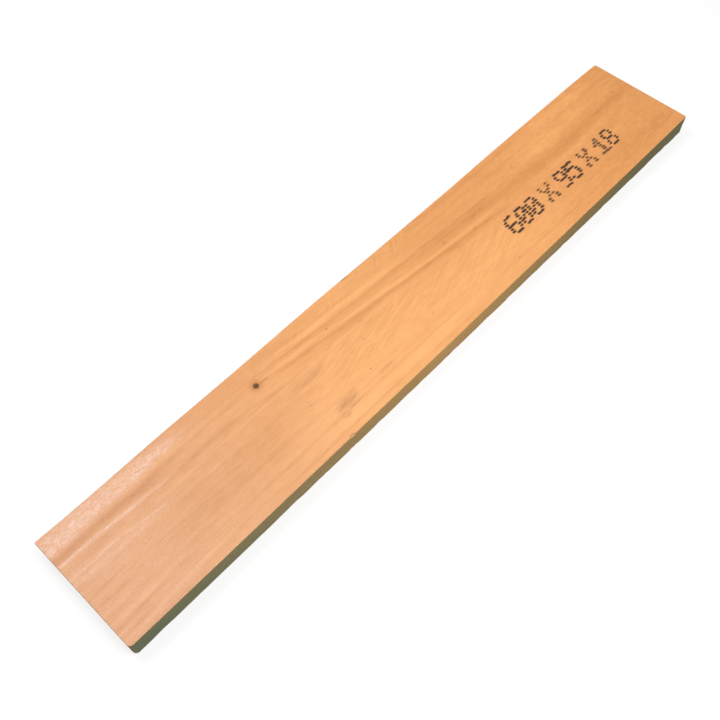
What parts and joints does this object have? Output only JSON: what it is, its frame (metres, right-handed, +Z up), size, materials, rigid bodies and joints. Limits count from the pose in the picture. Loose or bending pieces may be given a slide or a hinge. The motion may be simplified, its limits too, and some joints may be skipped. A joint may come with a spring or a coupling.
{
  "type": "timber plank",
  "caption": "Short planed softwood board of rectangular section, sawn square at both ends, with eased arrises and slightly wavy long edges.",
  "frame": {"origin": "middle of the underside, in the plane that the plank rests on", "axes": "+X along the length and the grain, towards the end that carries the printed size; +Y across the width; +Z up, through the thickness"},
  "size_m": [0.6, 0.095, 0.018],
  "materials": {
    "timber": "planed, unsealed, with a faint sheen on the denser bands of the grain"
  },
  "bodies": {
    "root": {"plank": "timber"}
  },
  "joints": []
}
